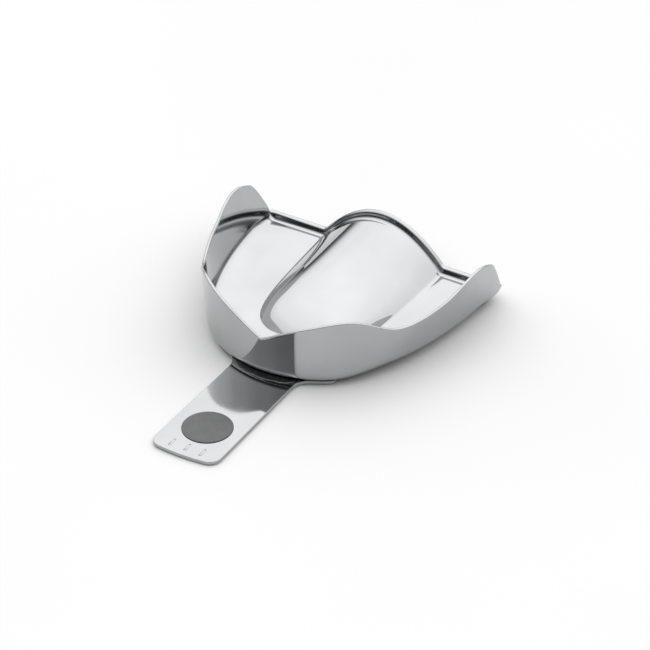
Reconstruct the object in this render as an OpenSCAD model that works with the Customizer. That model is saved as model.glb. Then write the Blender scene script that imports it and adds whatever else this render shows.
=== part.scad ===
// Dental impression tray, upper arch, one pressed steel bowl on a flat strip handle.
// Millimetres. X to the right, Y to the open rear of the tray, Z up out of the bowl.
// The origin is at the middle of the bounding box, on its underside.

/* [Bowl plan] */
// Half width of the trough floor at the rear
arch_half_width = 35.5; // [33:0.5:38]
// Depth over which the front of the arch closes
arch_depth = 56.8; // [54:0.2:60]
// Squareness of the arch front
arch_power = 3.04; // [2.6:0.02:3.4]
// Fullness of the arch sides
arch_fullness = 1.86; // [1.7:0.02:2.1]
// Length of the bowl from the front of the floor to the rear border
tray_length = 61; // [58:0.2:64]
// How far the middle of the front bulges forward
front_bulge = 2; // [0:0.2:3]
// Thickness of the pressed sheet
sheet = 0.8; // [0.6:0.1:0.9]

/* [Flange] */
// Radius between the floor and the flange, inside
wall_fillet = 2; // [1.4:0.1:2.4]
// Flange height at the front, before the notch is taken out
height_front = 17.8; // [15:0.2:20]
// Flange height beside the front teeth
height_side = 18.2; // [15:0.2:20]
// Flange height in the cheek relief
height_relief = 12.4; // [10:0.2:14]
// Flange height at the rear hump
height_hump = 16.4; // [14:0.2:18]
// Outward lean of the flange at its widest, in degrees
lean_side = 9.4; // [6:0.2:14]
// Outward lean of the flange at the rear, in degrees
lean_rear = 4.8; // [3:0.2:9]
// Depth of the lip notch at the front
notch_depth = 7; // [5:0.2:9]
// Half width of the lip notch
notch_width = 9; // [7:0.2:11]
// Length over which the rear corner of the flange is rounded
corner_run = 6.6; // [5:0.2:8]

/* [Palate] */
// Half width of the vault at its foot
vault_half_width = 19.4; // [17:0.1:20.5]
// Distance from the front of the floor to the nose of the vault
vault_start = 13.4; // [12:0.2:15]
// Rise of the vault crest for each millimetre near its nose
vault_rise = 0.95; // [0.8:0.01:1]
// Height of the raised rear border
border_height = 2; // [1.8:0.1:2.4]
// Rise of the trough floor towards the flange
trough_dish = 1.1; // [0.6:0.1:1.4]

/* [Handle] */
// Width of the handle at its free end
handle_tip_width = 20; // [16:0.5:24]
// Width of the handle where it leaves the bowl
handle_root_width = 19.2; // [17:0.2:19.6]
// Reach of the handle in front of the bowl
handle_reach = 42.6; // [36:0.2:50]
// Thickness of the handle strip
handle_thick = 1; // [0.8:0.1:1.5]
// Radius of the corners at the free end
tip_radius = 3.4; // [2:0.2:5]
// Diameter of the weld plugs in the foot
weld_diameter = 3; // [2:0.2:3.6]

/* [Size dot] */
// Diameter of the coloured size dot
dot_diameter = 13.6; // [10:0.1:14.5]
// Thickness of the size dot
dot_thick = 0.3; // [0.2:0.05:0.4]

/* [Hidden] */
arch_steps = 160;
front_rows = 9;
side_rows = 25;
corner_rows = 4;
wall_cells = 6;
fillet_cells = 4;
floor_cells = 4;
foot_cells = 4;
flank_cells = 7;
half_cells = wall_cells + fillet_cells + floor_cells + foot_cells + flank_cells;
cells = 2 * half_cells;
front_zone = 12;
bulge_width = 12;
corner_end = 1.2;
corner_power = 1.4;
border_r1 = 1.15;
border_r2 = 0.85;
border_angle = 78;
border_over = -10;
border_ledge = 0.2;
dish_power = 2.5;
vault_ease = 15.8;
vault_nose = 5.6;
vault_square = 1.3;
vault_square_start = 1.5;
vault_square_run = 16;
vault_blend = 0.22;
vault_blend_rear = 0.5;
row_bow = 3.5;
centre_start = row_bow - front_bulge;
crown = 0.25;
flare_radius = 5.5;
flare_turn = 62;
foot_half_width = 18;
foot_set = 0.7;
foot_rear = 9.5;
foot_radius = 1.6;
tip_bulge = 0.8;
weld_y = 5;
weld_pitch = 7;
dot_x = 0;
dot_y = -29.4;
mark_y = -39.2;
mark_length = 3.2;
mark_width = 0.8;
mark_depth = 0.25;
mark_pitch = 4.6;
solder_rows = 7;
solder_end = 9.45;
solder_reach = 2.8;
solder_gap = 0.01;
toe = 0.16;
eps = 0.01;
$fn = 64;
shift = [0, (handle_reach - tray_length) / 2, sheet + handle_thick];

// ---- plan outline of the floor, measured along its own length ----
function half_width(y) =
    arch_half_width
    * pow(1 - pow(1 - min(y / arch_depth, 1), arch_fullness), 1 / arch_power);
function bulge(x) = front_bulge * exp(-pow(x / bulge_width, 2));
plan = [for (i = [0:arch_steps])
    let (y = tray_length * pow(i / arch_steps, 3), x = half_width(y)) [x, y - bulge(x)]];
run = [for (i = 0, s = 0; i <= arch_steps; i = i + 1,
    s = i <= arch_steps ? s + norm(plan[i] - plan[i - 1]) : s) s];
full = run[arch_steps];
run_x = [for (i = [0:arch_steps]) [run[i], plan[i][0]]];
run_y = [for (i = [0:arch_steps]) [run[i], plan[i][1]]];
y_run = [for (i = [0:arch_steps]) [plan[i][1], run[i]]];
function plan_at(t) = [lookup(t, run_x), lookup(t, run_y)];
function unit(v) = v / max(norm(v), 1e-9);
function plan_normal(t) =
    t < 0.05 ? [0, -1]
    : let (d = unit(plan_at(min(t + 0.4, full)) - plan_at(max(t - 0.4, 0)))) [d[1], -d[0]];

// ---- smooth curve through a few named values ----
function slope(k, v, i) =
    let (n = len(k) - 1)
    i > 0 && i < n ? (v[i + 1] - v[i - 1]) / (k[i + 1] - k[i - 1])
    : i == 0 ? 1.5 * (v[1] - v[0]) / (k[1] - k[0]) - 0.5 * slope(k, v, 1)
    : 1.5 * (v[n] - v[n - 1]) / (k[n] - k[n - 1]) - 0.5 * slope(k, v, n - 1);
function span_of(k, f, i = 0) = i >= len(k) - 2 || f < k[i + 1] ? i : span_of(k, f, i + 1);
function curve(k, v, f) =
    let (i = span_of(k, f), w = k[i + 1] - k[i], u = (f - k[i]) / w)
    v[i] * (2 * u * u * u - 3 * u * u + 1)
    + slope(k, v, i) * w * (u * u * u - 2 * u * u + u)
    + v[i + 1] * (3 * u * u - 2 * u * u * u)
    + slope(k, v, i + 1) * w * (u * u * u - u * u);

// ---- flange: height and lean along the arch ----
height_keys = [0, 0.14, 0.3, 0.46, 0.64, 0.82, 1];
height_values = [
    height_front,
    height_front,
    height_side,
    height_relief,
    height_relief + 1,
    height_hump,
    height_hump - 8.4
];
lean_keys = [0, 0.3, 0.6, 1];
lean_values = [0, 2, lean_side, lean_rear];
end_height = border_height;
function flange_height(t) =
    let (
        f = t / full,
        h = curve(height_keys, height_values, f) - notch_depth * exp(-pow(t / notch_width, 1.35)),
        e = min(max(1 - (full - corner_end - t) / corner_run, 0), 1)
    )
    end_height + (h - end_height) * pow(max(1 - pow(e, corner_power), 0), 1 / corner_power);
function lean(t) = curve(lean_keys, lean_values, t / full);

// ---- raised rear border: up one arc, over a second, and a slightly drooping lip ----
border_straight =
    (border_height - (border_r1 + border_r2) * (1 - cos(border_angle))) / sin(border_angle);
border_a = [for (k = [0:3]) let (a = border_angle * k / 3)
    [border_r1 * sin(a), border_r1 * (1 - cos(a))]];
border_mid = border_a[3] + border_straight * [cos(border_angle), sin(border_angle)];
border_b = [for (k = [0:5]) let (a = border_angle + (border_over - border_angle) * k / 5)
    border_mid + border_r2 * [sin(border_angle) - sin(a), cos(a) - cos(border_angle)]];
border_steps = concat(border_a, border_b);
border_run = border_b[5][0] + border_ledge;
border_y = tray_length - border_run;
border_table = concat(
    [[0, 0]],
    [for (p = border_steps) [border_y + p[0], p[1]]],
    [[tray_length, border_b[5][1] + border_ledge * tan(border_over)]]
);
function border(y) = lookup(y, border_table);

// ---- palate vault, blended into the floor ----
function vault_raw(x, y) =
    let (
        s = y - vault_start,
        pull = x * x * max(s + vault_nose, 0) / (vault_half_width * vault_half_width),
        square = vault_square * exp(-pow(s / vault_square_run, 2)) / (max(s, 0) + vault_square_start)
    )
    vault_rise / (1 + max(s, 0) / vault_ease)
    * (s - pull) * (1 + square * pull);
function vault(x, y) =
    let (
        h = vault_raw(x, y),
        s = min(max((y - vault_start) / (tray_length - vault_start), 0), 1),
        k = vault_blend + vault_blend_rear * pow(s, 1.5)
    )
    h >= k ? h : h <= -k ? 0 : (h + k) * (h + k) / (4 * k);
function foot_x(y) =
    let (s = max(y - vault_start, 0)) vault_half_width * sqrt(s / (s + vault_nose));

// ---- rows of the surface grid, as distances along the outline ----
border_t = [for (p = border_steps) lookup(border_y + p[0], y_run)];
corner_t = full - corner_end - corner_run;
rows = concat(
    [for (i = [0:front_rows - 1]) front_zone * i / front_rows],
    [for (i = [0:side_rows - 1]) front_zone + (corner_t - front_zone) * i / side_rows],
    [for (i = [0:corner_rows - 1]) corner_t + (border_t[0] - corner_t) * i / corner_rows],
    border_t,
    [full]
);
last = len(rows) - 1;
function bow(t) =
    let (f = t / full)
    (row_bow + 34 * f) * pow(max(1 - f / 0.92, 0), 2.2);
function smooth(u) = let (c = min(max(u, 0), 1)) c * c * (3 - 2 * c);
function dish(t) = trough_dish * smooth((t - 18) / 16) * smooth((full - 2 - t) / 9);
function inner(t) =
    let (th = lean(t), c = wall_fillet * tan((90 - th) / 2)) plan_at(t) - c * plan_normal(t);
function settle(x, b, w, n) =
    n == 0 ? x : settle((x + foot_x(b[1] + w * (1 - pow(x / b[0], 2)))) / 2, b, w, n - 1);

// where the trough floor meets the vault along one row
function foot_place(t) =
    let (b = inner(t)) max(settle(0.6 * b[0], b, bow(t), 14), 0.35 * b[0]);

// wall and fillet points, from the rim down to the floor
function wall_points(t) =
    let (
        p = plan_at(t),
        n = plan_normal(t),
        th = lean(t),
        c = wall_fillet * tan((90 - th) / 2),
        z0 = c * cos(th),
        h = flange_height(t),
        zb = border(p[1]),
        r = dish(t),
        span = r > 0 ? max(inner(t)[0] - 1.048 * foot_place(t), 1) : 1
    )
    concat(
        [for (k = [0:wall_cells]) let (z = h + (z0 - h) * k / wall_cells, d = z * tan(th))
            [p[0] + n[0] * d, p[1] + n[1] * d,
                z + (zb + r * pow(1 + (d + c) / span, dish_power)) * (1 - z / h)]],
        [for (k = [1:fillet_cells]) let (
            a = (90 - th) * (1 - k / fillet_cells),
            d = -c + wall_fillet * sin(a),
            z = wall_fillet * (1 - cos(a)))
            [p[0] + n[0] * d, p[1] + n[1] * d,
                z + (zb + r * pow(1 + (d + c) / span, dish_power)) * (1 - z / h)]]
    );
function floor_point(x, b, w, rise) =
    let (y = b[1] + w * (1 - pow(x / b[0], 2))) [x, y, vault(x, y) + border(y) + rise];
// floor and vault points, from the fillet to the middle
function floor_points(t) =
    let (
        b = inner(t),
        w = bow(t),
        g = foot_place(t),
        e = 0.048 * g,
        r = dish(t)
    )
    concat(
        [for (k = [1:floor_cells]) floor_point(b[0] + (g + e - b[0]) * k / floor_cells, b, w,
            r * pow(1 - k / floor_cells, dish_power))],
        [for (k = [1:foot_cells]) floor_point(g + e - 2 * e * k / foot_cells, b, w, 0)],
        [for (k = [1:flank_cells]) floor_point((g - e) * (1 - k / flank_cells), b, w, 0)]
    );
function tip_row() =
    let (w = wall_points(0))
    concat(w, [for (k = [1:half_cells - wall_cells - fillet_cells]) [0, centre_start, 0]]);
half_rows = [for (i = [0:last]) i == 0 ? tip_row()
    : concat(wall_points(rows[i]), floor_points(rows[i]))];
function mirrored(p) = [-p[0], p[1], p[2]];
top = [for (r = half_rows) concat(
    [for (j = [0:half_cells]) mirrored(r[j])],
    [for (j = [half_cells - 1:-1:0]) r[j]]
)];
function along(i, j) =
    (i < last ? unit(top[i + 1][j] - top[i][j]) : [0, 0, 0])
    + (i > 0 ? unit(top[i][j] - top[i - 1][j]) : [0, 0, 0]);
function across(i, j) =
    (j < cells ? unit(top[i][j + 1] - top[i][j]) : [0, 0, 0])
    + (j > 0 ? unit(top[i][j] - top[i][j - 1]) : [0, 0, 0]);
function in_tip_floor(i, j) =
    i == 0 && j >= wall_cells + fillet_cells && j <= cells - wall_cells - fillet_cells;
function front_fold(v, i) = i == 0 ? unit([0, v[1], v[2]]) : v;
function up(i, j) =
    in_tip_floor(i, j) ? [0, 0, 1] : front_fold(unit(cross(across(i, j), along(i, j))), i);
normals = [for (i = [0:last]) [for (j = [0:cells]) up(i, j)]];
under = [for (i = [0:last]) [for (j = [0:cells]) top[i][j] - sheet * normals[i][j]]];
function crown_point(i, j, k) =
    (top[i][j] + under[i][j]) / 2 + crown * sheet * unit(top[i][j] - top[i][k]);

// one closed ring of points round the sheet for each row
ring = 2 * (cells + 1) + 2;
function ring_points(i) = concat(
    [for (j = [0:cells]) top[i][j]],
    [crown_point(i, cells, cells - 1)],
    [for (j = [cells:-1:0]) under[i][j]],
    [crown_point(i, 0, 1)]
);
bowl_points = [for (i = [0:last]) each ring_points(i)];
// the first row folds onto itself, so its right half uses the points of its left half
function fold(k) =
    k <= cells ? let (j = min(k, cells - k)) (j > wall_cells + fillet_cells ? half_cells : j)
    : k == cells + 1 ? ring - 1
    : k == ring - 1 ? k
    : let (j = 2 * cells + 2 - k, m = min(j, cells - j))
        2 * cells + 2 - (m > wall_cells + fillet_cells ? half_cells : m);
function id(i, k) = let (m = k % ring) i == 0 ? fold(m) : i * ring + m;
function proper(f) = f[0] != f[1] && f[1] != f[2] && f[2] != f[0];
function quad(a, b, c, d) = [for (f = [[a, b, c], [a, c, d]]) if (proper(f)) f];
bowl_faces = concat(
    [for (i = [0:last - 1]) for (k = [0:ring - 1])
        each quad(id(i, k), id(i + 1, k), id(i + 1, k + 1), id(i, k + 1))],
    [for (j = [0:cells - 1])
        each quad(id(last, j), id(last, 2 * cells + 2 - j),
            id(last, 2 * cells + 1 - j), id(last, j + 1))],
    [[id(last, cells), id(last, cells + 2), id(last, cells + 1)]],
    [[id(last, 0), id(last, ring - 1), id(last, ring - 2)]]
);

module tray_bowl() {
    color([0.80, 0.81, 0.82])
        translate(shift)
            polyhedron(points = bowl_points, faces = bowl_faces, convexity = 8);
}

// ---- handle ----
strip_side = handle_root_width / 2;
tip_side = handle_tip_width / 2;
tip_corner = [tip_side - tip_radius, -handle_reach + tip_bulge * 0.5 + tip_radius];
function edge_y(x) =
    foot_set - bulge(x)
    + arch_depth * (1 - pow(1 - pow(x / arch_half_width, arch_power), 1 / arch_fullness));
flare_end_x = strip_side + flare_radius * (1 - cos(flare_turn));
flare_centre = [strip_side + flare_radius, edge_y(flare_end_x) - flare_radius * sin(flare_turn)];
foot_x_end = foot_half_width - 0.5 * foot_radius;
foot_turn = atan((edge_y(foot_x_end + 0.1) - edge_y(foot_x_end - 0.1)) / 0.2);
ear_centre = [foot_x_end, edge_y(foot_x_end)] + foot_radius * [-sin(foot_turn), cos(foot_turn)];
handle_half = concat(
    [for (a = [90:-15:0]) [ear_centre[0], foot_rear - foot_radius]
        + foot_radius * [cos(a), sin(a)]],
    [for (k = [0:3]) let (a = (foot_turn - 90) * k / 3)
        ear_centre + foot_radius * [cos(a), sin(a)]],
    [for (k = [1:6]) let (x = foot_x_end + (flare_end_x - foot_x_end) * k / 7) [x, edge_y(x)]],
    [for (a = [180 - flare_turn:flare_turn / 7:180]) flare_centre + flare_radius * [cos(a), sin(a)]],
    [for (a = [0:-10:-80]) tip_corner + tip_radius * [cos(a), sin(a)]],
    [for (k = [4:-1:1]) let (x = tip_corner[0] * k / 4.6)
        [x, -handle_reach + tip_bulge * 0.5 * pow(x / tip_corner[0], 2)]]
);
handle_plan = concat(
    handle_half,
    [[0, -handle_reach]],
    [for (i = [len(handle_half) - 1:-1:0]) [-handle_half[i][0], handle_half[i][1]]]
);
weld_places = [for (k = [-1.5:1:1.5]) [k * weld_pitch, weld_y]];

module handle() {
    color([0.76, 0.77, 0.79])
        translate(shift + [0, 0, -sheet - handle_thick])
            difference() {
                linear_extrude(height = handle_thick)
                    polygon(handle_plan);
                for (p = weld_places) {
                    translate([p[0], p[1], -1])
                        cylinder(d = weld_diameter, h = handle_thick + 2);
                }
                for (k = [-1:1]) {
                    translate([k * mark_pitch, mark_y, handle_thick])
                        cube([mark_width, mark_length, 2 * mark_depth], center = true);
                }
            }
}

module weld_plugs() {
    color([0.66, 0.67, 0.70])
        translate(shift + [0, 0, -sheet - handle_thick])
            for (p = weld_places) {
                translate([p[0], p[1], 0])
                    cylinder(d = weld_diameter, h = handle_thick);
            }
}

// ---- solder in the corner between the bowl front and the handle ----
solder_from = cells - wall_cells - fillet_cells + 1;
solder_to = solder_from + 1;
function solder_side(i) =
    [for (j = [solder_from:solder_to]) under[i][j] - solder_gap * normals[i][j]];
function bezier(a, b, c, u) = (1 - u) * (1 - u) * a + 2 * u * (1 - u) * b + u * u * c;
function solder_section(i) =
    let (
        s = solder_side(i),
        n2 = plan_normal(rows[i]),
        n = [n2[0], n2[1], 0],
        reach = solder_reach * sqrt(1 - pow(rows[i] / solder_end, 4)),
        high = s[len(s) - 1],
        low = s[0],
        tip = [high[0], high[1], -sheet + toe] + reach * n,
        bend = [high[0], high[1], -sheet + 0.2] + 0.5 * reach * n
    )
    concat(
        [[low[0], low[1], -sheet]],
        s,
        [for (k = [1:4]) bezier(high, bend, tip, k / 4)],
        [[tip[0], tip[1], -sheet] + toe * n]
    );
solder_right = [for (i = [0:solder_rows]) solder_section(i)];
solder_list = concat(
    [for (i = [solder_rows:-1:1]) [for (p = solder_right[i]) mirrored(p)]],
    solder_right
);
solder_n = len(solder_list[0]);
solder_m = len(solder_list) - 1;
solder_faces = concat(
    [for (i = [0:solder_m - 1]) for (k = [0:solder_n - 1])
        each quad(i * solder_n + k, i * solder_n + (k + 1) % solder_n,
            (i + 1) * solder_n + (k + 1) % solder_n, (i + 1) * solder_n + k)],
    [[for (k = [solder_n - 1:-1:0]) k]],
    [[for (k = [0:solder_n - 1]) solder_m * solder_n + k]]
);

module solder_fillet() {
    color([0.62, 0.63, 0.64])
        translate(shift)
            polyhedron(points = [for (s = solder_list) each s], faces = solder_faces);
}

module size_dot() {
    color([0.20, 0.21, 0.22])
        translate(shift + [dot_x, dot_y, -sheet])
            cylinder(d = dot_diameter, h = dot_thick);
}

tray_bowl();
handle();
weld_plugs();
solder_fillet();
size_dot();
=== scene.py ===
"""Looks of the dental impression tray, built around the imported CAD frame.

Lengths in this file are millimetres in the tray's design frame (front of the
floor outline at y = 0, top of the floor at z = 0) until place() turns them
into metres in the row frame.
"""
import math

import bmesh
import bpy
import numpy as np
from mathutils import Matrix, Vector


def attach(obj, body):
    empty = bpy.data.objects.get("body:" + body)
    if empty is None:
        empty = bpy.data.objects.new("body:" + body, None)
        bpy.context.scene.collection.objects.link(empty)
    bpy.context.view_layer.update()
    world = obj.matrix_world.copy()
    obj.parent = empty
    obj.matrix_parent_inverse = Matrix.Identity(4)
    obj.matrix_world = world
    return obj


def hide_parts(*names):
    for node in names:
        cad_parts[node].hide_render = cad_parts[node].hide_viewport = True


# ---- the tray's dimensions, the same as in part.scad ----
HALF_WIDTH = 35.5
ARCH_DEPTH = 56.8
ARCH_POWER = 3.04
ARCH_FULLNESS = 1.86
FRONT_BULGE = 2.0
BULGE_WIDTH = 12.0
LENGTH = 61.0
SHEET = 0.8
FILLET = 2.0
HEIGHT_KEYS = (0, 0.14, 0.3, 0.46, 0.64, 0.82, 1)
HEIGHTS = (17.8, 17.8, 18.2, 12.4, 13.4, 16.4, 8.0)
LEAN_KEYS = (0, 0.3, 0.6, 1)
LEANS = (0, 2, 9.4, 4.8)
NOTCH_DEPTH = 7.0
NOTCH_WIDTH = 9.0
NOTCH_POWER = 1.35
CORNER_END = 1.2
CORNER_RUN = 6.6
CORNER_POWER = 1.4
VAULT_HALF = 19.4
VAULT_START = 13.4
VAULT_RISE = 0.95
VAULT_EASE = 15.8
VAULT_NOSE = 5.6
VAULT_SQUARE = 1.3
VAULT_SQUARE_RUN = 16.0
VAULT_SQUARE_START = 1.5
VAULT_BLEND = 0.22
VAULT_BLEND_REAR = 0.5
BORDER_HEIGHT = 2.0
BORDER_R1 = 1.15
BORDER_R2 = 0.85
BORDER_ANGLE = math.radians(78)
BORDER_OVER = math.radians(-10)
BORDER_LEDGE = 0.2
END_HEIGHT = BORDER_HEIGHT
ROW_BOW = 3.5
ROW_BOW_GROWTH = 34
CENTRE_START = ROW_BOW - FRONT_BULGE
TROUGH_DISH = 1.1
DISH_POWER = 2.5
FRONT_ZONE = 12.0
TIP_WIDTH = 20.0
ROOT_WIDTH = 19.2
REACH = 42.6
STRIP = 1.0
TIP_RADIUS = 3.4
TIP_BULGE = 0.8
FLARE_RADIUS = 5.5
FLARE_TURN = math.radians(62)
FOOT_HALF = 18
FOOT_SET = 0.7
FOOT_REAR = 9.5
FOOT_RADIUS = 1.6
WELD_RADIUS = 1.5
WELD_Y = 5.0
WELD_PITCH = 7.0
WELD_PLACES = (-1.5, -0.5, 0.5, 1.5)
DOT_Y = -29.4
DOT_RADIUS = 6.8
DOT_THICK = 0.3
MARK_Y = -39.2
MARK_PITCH = 4.6
MARK_LENGTH = 3.2
MARK_WIDTH = 0.8
MARK_DEPTH = 0.25
SOLDER_REACH = 2.8
SOLDER_END = 9.45
SOLDER_LAST = 9.34
SOLDER_LIP = 0.16
SOLDER_GAP = 0.01
SHIFT = np.array([0, (REACH - LENGTH) / 2, SHEET + STRIP])

# ---- finer edges that only the looks have ----
STRIP_EDGE = 0.18
HOLE_CHAMFER = 0.12
WELD_GAP = 0.01
DOT_EDGE = 0.2


def place(points):
    """Design millimetres to row-frame metres."""
    return (np.asarray(points, float) + SHIFT) * 0.001


# ---- plan outline and flange ----
_y = LENGTH * np.linspace(0, 1, 6001) ** 3
_x = HALF_WIDTH * (1 - (1 - np.minimum(_y / ARCH_DEPTH, 1)) ** ARCH_FULLNESS) ** (1 / ARCH_POWER)
_y = _y - FRONT_BULGE * np.exp(-((_x / BULGE_WIDTH) ** 2))
_run = np.r_[0, np.cumsum(np.hypot(np.diff(_x), np.diff(_y)))]
FULL = _run[-1]


def plan_at(t):
    return np.interp(t, _run, _x), np.interp(t, _run, _y)


def plan_normal(t):
    ax, ay = plan_at(np.minimum(t + 0.4, FULL))
    bx, by = plan_at(np.maximum(t - 0.4, 0))
    size = np.hypot(ax - bx, ay - by)
    front = t < 0.05
    return np.where(front, 0, (ay - by) / size), np.where(front, -1, (bx - ax) / size)


def curve(keys, values, f):
    """The cubic through a few named values that part.scad uses."""
    k = np.array(keys, float)
    v = np.array(values, float)
    n = len(k) - 1
    m = np.zeros(n + 1)
    m[1:n] = (v[2:] - v[:-2]) / (k[2:] - k[:-2])
    m[0] = 1.5 * (v[1] - v[0]) / (k[1] - k[0]) - 0.5 * m[1]
    m[n] = 1.5 * (v[n] - v[n - 1]) / (k[n] - k[n - 1]) - 0.5 * m[n - 1]
    i = np.clip(np.searchsorted(k, f, side="right") - 1, 0, n - 1)
    w = k[i + 1] - k[i]
    u = (f - k[i]) / w
    return (
        v[i] * (2 * u**3 - 3 * u**2 + 1)
        + m[i] * w * (u**3 - 2 * u**2 + u)
        + v[i + 1] * (3 * u**2 - 2 * u**3)
        + m[i + 1] * w * (u**3 - u**2)
    )


def flange_height(t):
    h = curve(HEIGHT_KEYS, HEIGHTS, t / FULL)
    h = h - NOTCH_DEPTH * np.exp(-((t / NOTCH_WIDTH) ** NOTCH_POWER))
    e = np.clip(1 - (FULL - CORNER_END - t) / CORNER_RUN, 0, 1)
    return END_HEIGHT + (h - END_HEIGHT) * np.maximum(1 - e**CORNER_POWER, 0) ** (1 / CORNER_POWER)


def lean(t):
    return np.radians(curve(LEAN_KEYS, LEANS, t / FULL))


# ---- raised rear border and palate vault ----
def border_steps():
    a = BORDER_ANGLE
    straight = (BORDER_HEIGHT - (BORDER_R1 + BORDER_R2) * (1 - math.cos(a))) / math.sin(a)
    first = [
        (BORDER_R1 * math.sin(q), BORDER_R1 * (1 - math.cos(q)))
        for q in np.linspace(0, a, 13)
    ]
    my = first[-1][0] + straight * math.cos(a)
    mz = first[-1][1] + straight * math.sin(a)
    second = [
        (my + BORDER_R2 * (math.sin(a) - math.sin(q)), mz + BORDER_R2 * (math.cos(q) - math.cos(a)))
        for q in np.linspace(a, BORDER_OVER, 23)
    ]
    return np.array(first + second)


STEPS = border_steps()
BORDER_Y = LENGTH - STEPS[-1, 0] - BORDER_LEDGE


def border(y):
    return np.interp(
        y,
        np.r_[0, BORDER_Y + STEPS[:, 0], LENGTH + 1],
        np.r_[0, STEPS[:, 1], STEPS[-1, 1] + math.tan(BORDER_OVER)],
    )


def vault(x, y):
    s = y - VAULT_START
    steep = VAULT_RISE / (1 + np.maximum(s, 0) / VAULT_EASE)
    pull = x * x * np.maximum(s + VAULT_NOSE, 0) / VAULT_HALF**2
    square = VAULT_SQUARE * np.exp(-((s / VAULT_SQUARE_RUN) ** 2)) / (np.maximum(s, 0) + VAULT_SQUARE_START)
    h = steep * (s - pull) * (1 + square * pull)
    u = np.clip(s / (LENGTH - VAULT_START), 0, 1)
    k = VAULT_BLEND + VAULT_BLEND_REAR * u**1.5
    return np.where(h >= k, h, np.where(h <= -k, 0, (h + k) ** 2 / (4 * k)))


def vault_foot(y):
    s = np.maximum(y - VAULT_START, 0)
    return VAULT_HALF * np.sqrt(s / (s + VAULT_NOSE))


# ---- the bowl as one dense sheet ----
WALL_CELLS = 26
FILLET_CELLS = 12
FLOOR_CELLS = 14
FOOT_CELLS = 12
FLANK_CELLS = 40
RIM_CELLS = 6


def row_places():
    rear = np.interp(BORDER_Y + STEPS[:, 0], _y, _run)
    corner = FULL - CORNER_END - CORNER_RUN
    return np.r_[
        np.linspace(0, FRONT_ZONE, 30, endpoint=False),
        np.linspace(FRONT_ZONE, corner, 100, endpoint=False),
        np.linspace(corner, rear[0], 24, endpoint=False),
        rear,
        FULL,
    ]


def smooth(u):
    u = np.clip(u, 0, 1)
    return u * u * (3 - 2 * u)


def half_sheet(t):
    """Inner surface of the right half: one row per place t, from the rim to the middle."""
    px, py = plan_at(t)
    nx, ny = plan_normal(t)
    th = lean(t)
    c = FILLET * np.tan((math.pi / 2 - th) / 2)
    z0 = c * np.cos(th)
    h = flange_height(t)
    zb = border(py)
    bx = px - c * nx
    by = py - c * ny
    f = t / FULL
    bow = (ROW_BOW + ROW_BOW_GROWTH * f) * np.maximum(1 - f / 0.92, 0) ** 2.2
    wide = np.maximum(bx, 1e-3)
    g = 0.6 * bx
    for _ in range(30):
        g = (g + vault_foot(by + bow * (1 - (g / wide) ** 2))) / 2
    g = np.maximum(g, 0.35 * bx)
    e = 0.048 * g
    span = np.maximum(bx - g - e, 1)
    rise = TROUGH_DISH * smooth((t - 18) / 16) * smooth((FULL - 2 - t) / 9)
    columns = []

    def wall_point(d, z):
        dish = rise * (1 + (d + c) / span) ** DISH_POWER
        columns.append(np.stack([px + nx * d, py + ny * d, z + (zb + dish) * (1 - z / h)], -1))

    def floor_point(x, part=0.0):
        y = by + bow * (1 - (x / wide) ** 2)
        columns.append(np.stack([x, y, vault(x, y) + border(y) + rise * part**DISH_POWER], -1))

    for k in range(WALL_CELLS + 1):
        z = h + (z0 - h) * k / WALL_CELLS
        wall_point(z * np.tan(th), z)
    for k in range(1, FILLET_CELLS + 1):
        a = (math.pi / 2 - th) * (1 - k / FILLET_CELLS)
        wall_point(-c + FILLET * np.sin(a), FILLET * (1 - np.cos(a)))
    for k in range(1, FLOOR_CELLS + 1):
        floor_point(bx + (g + e - bx) * k / FLOOR_CELLS, 1 - k / FLOOR_CELLS)
    for k in range(1, FOOT_CELLS + 1):
        floor_point(g + e - 2 * e * k / FOOT_CELLS)
    for k in range(1, FLANK_CELLS + 1):
        floor_point((g - e) * (1 - k / FLANK_CELLS))
    rows = np.stack(columns, 1)
    rows[0, WALL_CELLS + FILLET_CELLS + 1:] = (0, CENTRE_START, 0)
    rows[0, :, 0] = 0
    return rows


def unit(v):
    return v / np.maximum(np.linalg.norm(v, axis=-1, keepdims=True), 1e-12)


def sheet_grid():
    """Inner surface, its unit normals and the under surface, left rim to right rim."""
    half = half_sheet(row_places())
    top = np.concatenate([half * (-1, 1, 1), half[:, -2::-1]], axis=1)
    along = np.zeros_like(top)
    step = unit(top[1:] - top[:-1])
    along[1:] += step
    along[:-1] += step
    across = np.zeros_like(top)
    step = unit(top[:, 1:] - top[:, :-1])
    across[:, 1:] += step
    across[:, :-1] += step
    normal = np.cross(across, along)
    normal[0, :, 0] = 0
    edge = WALL_CELLS + FILLET_CELLS
    normal[0, edge:top.shape[1] - edge] = (0, 0, 1)
    normal = unit(normal)
    return top, normal, top - SHEET * normal


def rim_path(top):
    """Grid positions round the free edge of the sheet, and the way out at each."""
    last, wide = top.shape[0] - 1, top.shape[1] - 1
    left = [(i, 0) for i in range(last + 1)]
    rear = [(last, j) for j in range(1, wide)]
    right = [(i, wide) for i in range(last, -1, -1)]
    path = left + rear + right
    out = []
    for i, j in path:
        d = np.zeros(3)
        if j == 0:
            d += unit(top[i, 0] - top[i, 1])
        if j == wide:
            d += unit(top[i, wide] - top[i, wide - 1])
        if i == last:
            d += unit(top[last, j] - top[last - 1, j])
        out.append(d)
    return path, np.array(out)


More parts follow.
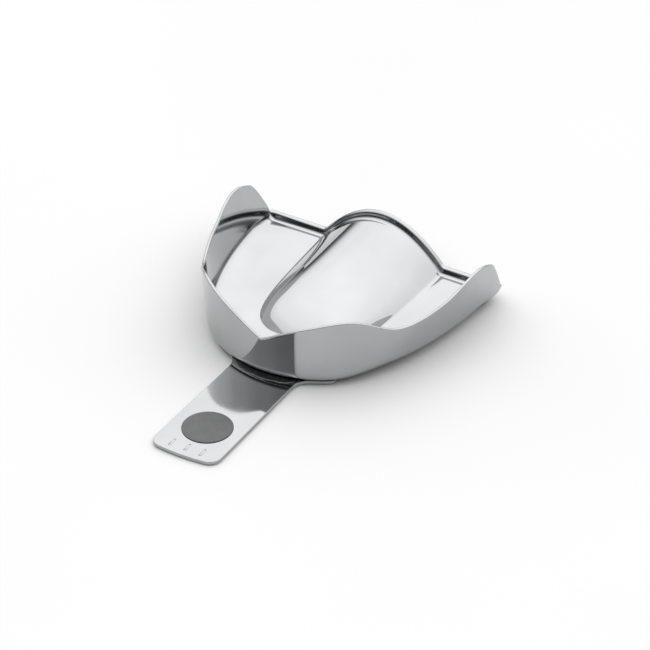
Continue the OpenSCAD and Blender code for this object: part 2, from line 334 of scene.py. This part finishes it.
def mesh_object(name, verts, faces, materials, ids=None, merge=1e-6):
    """A smooth mesh piece from design-frame points."""
    mesh = bpy.data.meshes.new(name)
    mesh.from_pydata(place(verts).tolist(), [], faces)
    for m in materials:
        mesh.materials.append(m)
    if ids is not None:
        mesh.polygons.foreach_set("material_index", ids)
    bm = bmesh.new()
    bm.from_mesh(mesh)
    bmesh.ops.remove_doubles(bm, verts=bm.verts, dist=merge)
    bmesh.ops.dissolve_degenerate(bm, dist=merge, edges=bm.edges)
    bmesh.ops.recalc_face_normals(bm, faces=bm.faces)
    for f in bm.faces:
        f.smooth = True
    bm.to_mesh(mesh)
    bm.free()
    obj = bpy.data.objects.new(name, mesh)
    bpy.context.scene.collection.objects.link(obj)
    return obj


def make_bowl(materials):
    top, normal, under = sheet_grid()
    rows, wide = top.shape[:2]
    path, out = rim_path(top)
    index = np.arange(rows * wide).reshape(rows, wide)
    faces = []
    for i in range(rows - 1):
        for j in range(wide - 1):
            a, b, c, d = index[i, j], index[i, j + 1], index[i + 1, j + 1], index[i + 1, j]
            faces.append((a, b, c, d))
            faces.append(tuple(k + rows * wide for k in (d, c, b, a)))
    ids = [0] * len(faces)
    verts = [top.reshape(-1, 3), under.reshape(-1, 3)]
    base = 2 * rows * wide
    strip = []
    for n, (i, j) in enumerate(path):
        axis = unit(top[i, j] - under[i, j])
        d = out[n] - axis * np.dot(out[n], axis)
        d = unit(d)
        start = index[i, j]
        mid = (top[i, j] + under[i, j]) / 2
        first = base + n * (RIM_CELLS - 1)
        strip.append([start, *range(first, first + RIM_CELLS - 1), start + rows * wide])
        verts.append(np.array([
            mid + SHEET * (0.5 * math.cos(q) * axis + 0.3 * math.sin(q) * d)
            for q in np.linspace(0, math.pi, RIM_CELLS + 1)[1:-1]
        ]))
    for a, b in zip(strip[:-1], strip[1:]):
        for k in range(RIM_CELLS):
            faces.append((a[k], a[k + 1], b[k + 1], b[k]))
            ids.append(1)
    return mesh_object("bowl", np.concatenate(verts), faces, materials, ids)


# ---- handle, plugs, solder and dot ----
def edge_y(x):
    base = ARCH_DEPTH * (1 - (1 - (x / HALF_WIDTH) ** ARCH_POWER) ** (1 / ARCH_FULLNESS))
    return FOOT_SET + base - FRONT_BULGE * math.exp(-((x / BULGE_WIDTH) ** 2))


def arc(centre, radius, start, end, n):
    return [
        (centre[0] + radius * math.cos(a), centre[1] + radius * math.sin(a))
        for a in np.linspace(start, end, n)
    ]


def handle_outline():
    """Right half of the strip's outline, from the rear of the foot to the tip."""
    strip_side = ROOT_WIDTH / 2
    flare_x = strip_side + FLARE_RADIUS * (1 - math.cos(FLARE_TURN))
    flare = (strip_side + FLARE_RADIUS, edge_y(flare_x) - FLARE_RADIUS * math.sin(FLARE_TURN))
    end_x = FOOT_HALF - 0.5 * FOOT_RADIUS
    turn = math.atan((edge_y(end_x + 0.1) - edge_y(end_x - 0.1)) / 0.2)
    ear = (end_x - FOOT_RADIUS * math.sin(turn), edge_y(end_x) + FOOT_RADIUS * math.cos(turn))
    tip = (TIP_WIDTH / 2 - TIP_RADIUS, -REACH + TIP_BULGE * 0.5 + TIP_RADIUS)
    points = arc((ear[0], FOOT_REAR - FOOT_RADIUS), FOOT_RADIUS, math.pi / 2, 0, 10)
    points += arc(ear, FOOT_RADIUS, 0, turn - math.pi / 2, 8)
    points += [(x, edge_y(x)) for x in np.linspace(end_x, flare_x, 24)[1:-1]]
    points += arc(flare, FLARE_RADIUS, math.pi - FLARE_TURN, math.pi, 20)
    points += arc(tip, TIP_RADIUS, 0, -math.radians(84), 20)
    points += [
        (x, -REACH + TIP_BULGE * 0.5 * (x / tip[0]) ** 2)
        for x in np.linspace(tip[0] * 0.93, 0, 8)[:-1]
    ]
    return points


def rounded_plate(name, outline, low, high, radius, materials):
    """A flat plate with softly rounded edges; its two flat faces stay flat-shaded."""
    loop = np.array(outline)
    ahead = np.roll(loop, -1, axis=0) - np.roll(loop, 1, axis=0)
    inward = unit(np.stack([-ahead[:, 1], ahead[:, 0]], -1))
    centre = loop.mean(axis=0)
    if np.sum((centre - loop) * inward) < 0:
        inward = -inward
    levels = [(radius * (1 - math.sin(a)), high - radius * (1 - math.cos(a)))
              for a in np.linspace(0, math.pi / 2, 6)]
    levels += [(r, low + high - z) for r, z in levels[::-1]]
    verts = np.concatenate([
        np.c_[loop + inward * r, np.full(len(loop), z)] for r, z in levels
    ])
    n = len(loop)
    faces = []
    for k in range(len(levels) - 1):
        for i in range(n):
            j = (i + 1) % n
            faces.append((k * n + i, k * n + j, (k + 1) * n + j, (k + 1) * n + i))
    faces.append(tuple(range(n)))
    faces.append(tuple(range((len(levels) - 1) * n, len(levels) * n)))
    obj = mesh_object(name, verts, faces, materials)
    for p in obj.data.polygons:
        if p.loop_total > 4:
            p.use_smooth = False
    return obj


def lathe(name, centre, profile, materials, segments=96):
    """A body of revolution about a vertical axis; the profile runs from the axis to the axis."""
    verts, faces = [], []
    for r, z in profile:
        for k in range(segments):
            a = 2 * math.pi * k / segments
            verts.append((centre[0] + r * math.cos(a), centre[1] + r * math.sin(a), z))
    for i in range(len(profile) - 1):
        here = i * segments
        above = here + segments
        for k in range(segments):
            m = (k + 1) % segments
            faces.append((here + k, here + m, above + m, above + k))
    return mesh_object(name, verts, faces, materials)


def cut(obj, cutters):
    """Takes the cutters out of obj and removes them."""
    for c in cutters:
        mod = obj.modifiers.new("cut", "BOOLEAN")
        mod.operation = "DIFFERENCE"
        mod.solver = "EXACT"
        mod.object = c
    bpy.context.view_layer.update()
    shaped = obj.evaluated_get(bpy.context.evaluated_depsgraph_get())
    result = bpy.data.meshes.new_from_object(shaped)
    obj.modifiers.clear()
    obj.data = result
    for c in cutters:
        bpy.data.objects.remove(c)


def capsule(name, x, y):
    """A long rounded cutter for one stamped stroke."""
    rows = []
    n = 16
    for q in np.linspace(-math.pi / 2, math.pi / 2, 9):
        y_end = math.copysign(MARK_LENGTH / 2 - MARK_WIDTH / 2, q) + MARK_WIDTH / 2 * math.sin(q)
        r = math.cos(q)
        rows.append([
            (x + r * MARK_WIDTH / 2 * math.cos(a), y + y_end, -SHEET + r * MARK_DEPTH * math.sin(a))
            for a in np.linspace(0, 2 * math.pi, n, endpoint=False)
        ])
    verts = [p for row in rows for p in row]
    faces = [
        (i * n + k, i * n + (k + 1) % n, (i + 1) * n + (k + 1) % n, (i + 1) * n + k)
        for i in range(len(rows) - 1) for k in range(n)
    ]
    return mesh_object(name, verts, faces, [])


def make_handle(materials):
    right = handle_outline()
    outline = right + [(0, -REACH)] + [(-x, y) for x, y in right[::-1]]
    low, high = -SHEET - STRIP, -SHEET
    plate = rounded_plate("handle_strip", outline, low, high, STRIP_EDGE, materials)
    cutters = [capsule("stroke", k * MARK_PITCH, MARK_Y) for k in (-1, 0, 1)]
    r = WELD_RADIUS
    wide = r + HOLE_CHAMFER
    profile = [
        (0, low - 1), (wide, low - 1), (wide, low),
        (r, low + HOLE_CHAMFER), (r, high + 0.3), (0, high + 0.3),
    ]
    for k in WELD_PLACES:
        cutters.append(lathe("hole", (k * WELD_PITCH, WELD_Y), profile, []))
    cut(plate, cutters)
    return plate


def make_plugs(materials):
    low, high = -SHEET - STRIP, -SHEET
    r = WELD_RADIUS
    plugs = []
    side = r - WELD_GAP
    profile = [
        (0, low + 0.10), (0.5 * r, low + 0.07), (0.8 * r, low), (r - 0.05, low + 0.03),
        (side, low + 0.12), (side, high), (0, high),
    ]
    for k in WELD_PLACES:
        plugs.append(lathe("plug", (k * WELD_PITCH, WELD_Y), profile, materials, 48))
    with bpy.context.temp_override(active_object=plugs[0], selected_editable_objects=plugs):
        bpy.ops.object.join()
    plugs[0].name = "plug_welds"
    return plugs[0]


def solder_section(t, side, face):
    """One slice through the solder: up against the bowl, then out over the handle to its toe."""
    nx, ny = plan_normal(t)
    n = np.array([side * nx, ny, 0])
    across = t * side
    ragged = 0.12 * math.sin(1.1 * across + 0.6) + 0.05 * math.sin(2.7 * across)
    reach = (SOLDER_REACH + ragged) * math.sqrt(1 - (t / SOLDER_END) ** 4)
    high, low = face[-1], face[0]
    foot = np.array([high[0], high[1], -SHEET])
    lip = foot + reach * n + (0, 0, SOLDER_LIP)
    bend = foot + 0.5 * reach * n + (0, 0, 0.2)
    rise = [
        (1 - u) ** 2 * high + 2 * u * (1 - u) * bend + u * u * lip
        for u in np.linspace(0, 1, 13)[1:]
    ]
    toe = [
        lip + SOLDER_LIP * (math.sin(q) * n + (0, 0, math.cos(q) - 1))
        for q in np.linspace(0, math.pi / 2, 6)[1:-1]
    ]
    tip = lip + SOLDER_LIP * n - (0, 0, SOLDER_LIP)
    return [np.array([low[0], low[1], -SHEET])] + face + rise + toe + [tip]


def make_solder(materials):
    """The fillet of solder in the corner between the bowl's front and the handle."""
    top, normal, under = sheet_grid()
    places = row_places()
    picked = [i for i in range(len(places)) if places[i] <= SOLDER_LAST]
    first = WALL_CELLS + FILLET_CELLS * 2 // 3
    last = WALL_CELLS + FILLET_CELLS
    wide = top.shape[1] - 1
    skin = under - SOLDER_GAP * normal
    sections = []
    for side, order in ((-1, picked[:0:-1]), (1, picked)):
        columns = [j if side < 0 else wide - j for j in range(last - 1, first, -1)]
        sections += [solder_section(places[i], side, [skin[i, j] for j in columns]) for i in order]
    m = len(sections[0])
    verts = np.array([p for s in sections for p in s])
    faces = [
        (i * m + k, i * m + (k + 1) % m, (i + 1) * m + (k + 1) % m, (i + 1) * m + k)
        for i in range(len(sections) - 1) for k in range(m)
    ]
    faces += [tuple(range(m)), tuple(range((len(sections) - 1) * m, len(sections) * m))]
    return mesh_object("solder", verts, faces, materials, merge=1e-7)


def make_dot(materials):
    base = -SHEET
    r, h = DOT_RADIUS, DOT_THICK
    edge = (r - DOT_EDGE, base + h - 0.05 - DOT_EDGE)
    profile = [(0, base + h), (0.5 * r, base + h - 0.01), (0.85 * r, base + h - 0.03)]
    profile += arc(edge, DOT_EDGE, math.pi / 2, 0, 8)
    profile += [(r, base), (0, base)]
    return lathe("enamel_dot", (0, DOT_Y), profile, materials, 128)


# ---- materials ----
class Nodes:
    """A short way to build a material's nodes."""

    def __init__(self, name):
        self.material = bpy.data.materials.new(name)
        self.material.use_nodes = True
        self.tree = self.material.node_tree
        self.shader = self.tree.nodes["Principled BSDF"]
        self.object = self.add("ShaderNodeTexCoord").outputs["Object"]

    def add(self, kind, **values):
        node = self.tree.nodes.new(kind)
        for key, value in values.items():
            if key in node.inputs:
                node.inputs[key].default_value = value
            else:
                setattr(node, key, value)
        return node

    def link(self, a, b):
        self.tree.links.new(a, b)

    def feed(self, socket, value):
        """Drives one of the shader's sockets."""
        self.link(value, self.shader.inputs[socket])

    def stretched(self, scale):
        """The object's own coordinates, squeezed differently along each axis."""
        node = self.add("ShaderNodeMapping")
        node.inputs["Scale"].default_value = scale
        self.link(self.object, node.inputs["Vector"])
        return node.outputs["Vector"]

    def noise(self, scale, detail=3.0, vector=None, rough=0.5):
        node = self.add("ShaderNodeTexNoise", Scale=scale, Detail=detail, Roughness=rough)
        self.link(vector or self.object, node.inputs["Vector"])
        return node.outputs["Fac"]

    def ramp(self, value, stops):
        node = self.add("ShaderNodeValToRGB")
        ramp = node.color_ramp
        while len(ramp.elements) < len(stops):
            ramp.elements.new(0.5)
        for e, (place_at, grey) in zip(ramp.elements, stops):
            e.position = place_at
            e.color = (*grey, 1) if isinstance(grey, tuple) else (grey, grey, grey, 1)
        self.link(value, node.inputs["Fac"])
        return node.outputs["Color"]

    def bump(self, parts):
        """Stacks (height, distance in metres) bumps onto the shader's normal."""
        below = None
        for height, distance in parts:
            node = self.add("ShaderNodeBump", Strength=1.0, Distance=distance)
            self.link(height, node.inputs["Height"])
            if below is not None:
                self.link(below, node.inputs["Normal"])
            below = node.outputs["Normal"]
        self.link(below, self.shader.inputs["Normal"])


def steel(name, light, dark, rough, streak, waves=2.0e-5):
    """Polished stainless: slow tone changes, polishing lines, faint waves of pressed sheet."""
    n = Nodes(name)
    n.shader.inputs["Metallic"].default_value = 1.0
    tone = n.ramp(n.noise(60, 3), [(0.3, dark), (0.7, light)])
    n.feed("Base Color", tone)
    lines = n.noise(900, 4, n.stretched(streak), 0.6)
    haze = n.ramp(n.noise(140, 4), [(0.35, rough[0]), (0.75, rough[1])])
    mix = n.add("ShaderNodeMath", operation="MULTIPLY_ADD")
    n.link(lines, mix.inputs[0])
    mix.inputs[1].default_value = 0.03
    n.link(haze, mix.inputs[2])
    n.feed("Roughness", mix.outputs[0])
    n.bump([(n.noise(95, 1), waves), (lines, 2.0e-7)])
    return n.material


def solder_material():
    n = Nodes("solder_painted_shade")
    n.shader.inputs["Metallic"].default_value = 1.0
    # Partly painted shade: the solder's base is kept far darker than the steel so that it paints the shadow
    # and dark reflection in the gap and toe line under the bowl's front, over a dull grey solder tone.
    tone = n.ramp(n.noise(700, 5), [(0.3, (0.12, 0.122, 0.126)), (0.7, (0.22, 0.223, 0.228))])
    n.feed("Base Color", tone)
    n.feed("Roughness", n.ramp(n.noise(500, 4), [(0.3, 0.22), (0.7, 0.42)]))
    n.bump([(n.noise(600, 3), 3.0e-5), (n.noise(2600, 3), 6.0e-6)])
    return n.material


def weld_material():
    n = Nodes("weld_metal")
    n.shader.inputs["Metallic"].default_value = 1.0
    tone = n.ramp(n.noise(450, 4), [(0.3, (0.42, 0.41, 0.40)), (0.7, (0.58, 0.58, 0.585))])
    n.feed("Base Color", tone)
    n.feed("Roughness", n.ramp(n.noise(900, 4), [(0.3, 0.25), (0.7, 0.5)]))
    n.bump([(n.noise(1200, 3), 2.0e-5)])
    return n.material


def enamel_material():
    n = Nodes("dot_enamel")
    tone = n.ramp(n.noise(350, 3), [(0.3, (0.060, 0.061, 0.063)), (0.7, (0.075, 0.076, 0.078))])
    n.feed("Base Color", tone)
    n.feed("Roughness", n.ramp(n.noise(1500, 3), [(0.3, 0.26), (0.7, 0.38)]))
    n.bump([(n.noise(420, 2), 1.2e-5), (n.noise(3500, 2), 1.0e-6)])
    return n.material


def floor_material():
    n = Nodes("pale_floor")
    n.shader.inputs["Roughness"].default_value = 0.9
    n.shader.inputs["Specular IOR Level"].default_value = 0.1
    n.feed("Base Color", n.ramp(n.noise(6, 2), [(0.3, 0.70), (0.7, 0.72)]))
    return n.material


# ---- stage, light and camera ----
def make_floor(material):
    size, cells, gap = 6.0, 24, 0.0002
    axis = np.linspace(-size / 2, size / 2, cells + 1)
    verts = [(x, y, -gap) for y in axis for x in axis]
    wide = cells + 1
    faces = [
        (j * wide + i, j * wide + i + 1, (j + 1) * wide + i + 1, (j + 1) * wide + i)
        for j in range(cells) for i in range(cells)
    ]
    mesh = bpy.data.meshes.new("floor")
    mesh.from_pydata(verts, [], faces)
    mesh.materials.append(material)
    obj = bpy.data.objects.new("floor", mesh)
    bpy.context.scene.collection.objects.link(obj)


def make_world(towards, stops):
    """Soft studio surround: brightest towards one direction, and dark down at the horizon."""
    world = bpy.data.worlds.new("studio")
    bpy.context.scene.world = world
    world.use_nodes = True
    tree = world.node_tree
    coord = tree.nodes.new("ShaderNodeTexCoord")
    dot = tree.nodes.new("ShaderNodeVectorMath")
    dot.operation = "DOT_PRODUCT"
    dot.inputs[1].default_value = Vector(towards).normalized()
    spread = tree.nodes.new("ShaderNodeMapRange")
    spread.inputs["From Min"].default_value = -1
    spread.inputs["From Max"].default_value = 1
    ramp = tree.nodes.new("ShaderNodeValToRGB")
    ramp.color_ramp.interpolation = "EASE"
    while len(ramp.color_ramp.elements) < len(stops):
        ramp.color_ramp.elements.new(0.5)
    for e, (cosine, grey) in zip(ramp.color_ramp.elements, stops):
        e.position = (cosine + 1) / 2
        e.color = (grey, grey, grey, 1)
    tree.links.new(coord.outputs["Generated"], dot.inputs[0])
    tree.links.new(dot.outputs["Value"], spread.inputs["Value"])
    tree.links.new(spread.outputs["Result"], ramp.inputs["Fac"])
    split = tree.nodes.new("ShaderNodeSeparateXYZ")
    horizon = tree.nodes.new("ShaderNodeMapRange")
    horizon.interpolation_type = "SMOOTHSTEP"
    horizon.inputs["From Min"].default_value = 0.0
    horizon.inputs["From Max"].default_value = 0.3
    horizon.inputs["To Min"].default_value = 0.1
    horizon.inputs["To Max"].default_value = 1.95
    tree.links.new(coord.outputs["Generated"], split.inputs[0])
    tree.links.new(split.outputs["Z"], horizon.inputs["Value"])
    background = tree.nodes["Background"]
    tree.links.new(horizon.outputs["Result"], background.inputs["Strength"])
    tree.links.new(ramp.outputs["Color"], background.inputs["Color"])


def make_camera(azimuth, elevation, roll, distance, lens, shift, aim):
    """A long lens that looks at aim; angles in degrees, distance in metres."""
    a, e, r = (math.radians(v) for v in (azimuth, elevation, roll))
    right = Vector((math.cos(a), math.sin(a), 0))
    back = Vector((math.sin(a) * math.cos(e), -math.cos(a) * math.cos(e), math.sin(e)))
    up = back.cross(right)
    x = math.cos(r) * right + math.sin(r) * up
    y = -math.sin(r) * right + math.cos(r) * up
    data = bpy.data.cameras.new("camera")
    data.sensor_width = 36
    data.lens = lens
    data.shift_x, data.shift_y = shift
    data.clip_end = 20
    obj = bpy.data.objects.new("camera", data)
    turn = Matrix((x, y, back)).transposed().to_4x4()
    obj.matrix_world = Matrix.Translation(aim + back * distance) @ turn
    bpy.context.scene.collection.objects.link(obj)
    bpy.context.scene.camera = obj


bpy.context.scene.view_settings.view_transform = "Standard"
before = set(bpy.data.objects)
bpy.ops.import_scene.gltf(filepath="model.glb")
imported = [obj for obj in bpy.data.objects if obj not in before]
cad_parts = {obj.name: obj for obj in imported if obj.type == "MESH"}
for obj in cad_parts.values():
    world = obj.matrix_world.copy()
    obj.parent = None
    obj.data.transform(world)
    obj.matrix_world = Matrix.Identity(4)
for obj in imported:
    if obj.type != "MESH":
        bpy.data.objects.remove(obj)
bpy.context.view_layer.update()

bowl_steel = steel(
    "bowl_steel", (0.445, 0.45, 0.455), (0.405, 0.41, 0.415), rough=(0.03, 0.07), streak=(1, 0.06, 1)
)
rim_steel = steel(
    "rim_steel", (0.46, 0.465, 0.47), (0.38, 0.385, 0.39), rough=(0.16, 0.3), streak=(0.2, 1, 1)
)
strip_steel = steel(
    "handle_steel", (0.43, 0.434, 0.438), (0.39, 0.394, 0.398), rough=(0.05, 0.1), streak=(1, 0.03, 1)
)

bowl = make_bowl([bowl_steel, rim_steel])
strip = make_handle([strip_steel])
plugs = make_plugs([weld_material()])
solder = make_solder([solder_material()])
dot = make_dot([enamel_material()])
for piece, node, slot in (
    (bowl, "tray_bowl", "bowl_steel"),
    (strip, "handle", "handle_steel"),
    (plugs, "weld_plugs", "weld_metal"),
    (solder, "solder_fillet", "solder"),
    (dot, "size_dot", "dot_enamel"),
):
    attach(piece, "root")
    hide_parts(node)

aim = Vector(place((0, 25, 0)))
make_floor(floor_material())
make_world(
    (-0.1, 0.45, 0.88),
    [
        (-1, 0.02), (0.0, 0.04), (0.1, 0.15), (0.16, 0.24), (0.24, 0.36),
        (0.4, 0.54), (0.55, 0.78), (0.75, 0.92), (1, 1.0),
    ],
)
make_camera(31.65, 35.38, -1.0, distance=1.426, lens=298, shift=(0.0135, -0.0088), aim=aim)
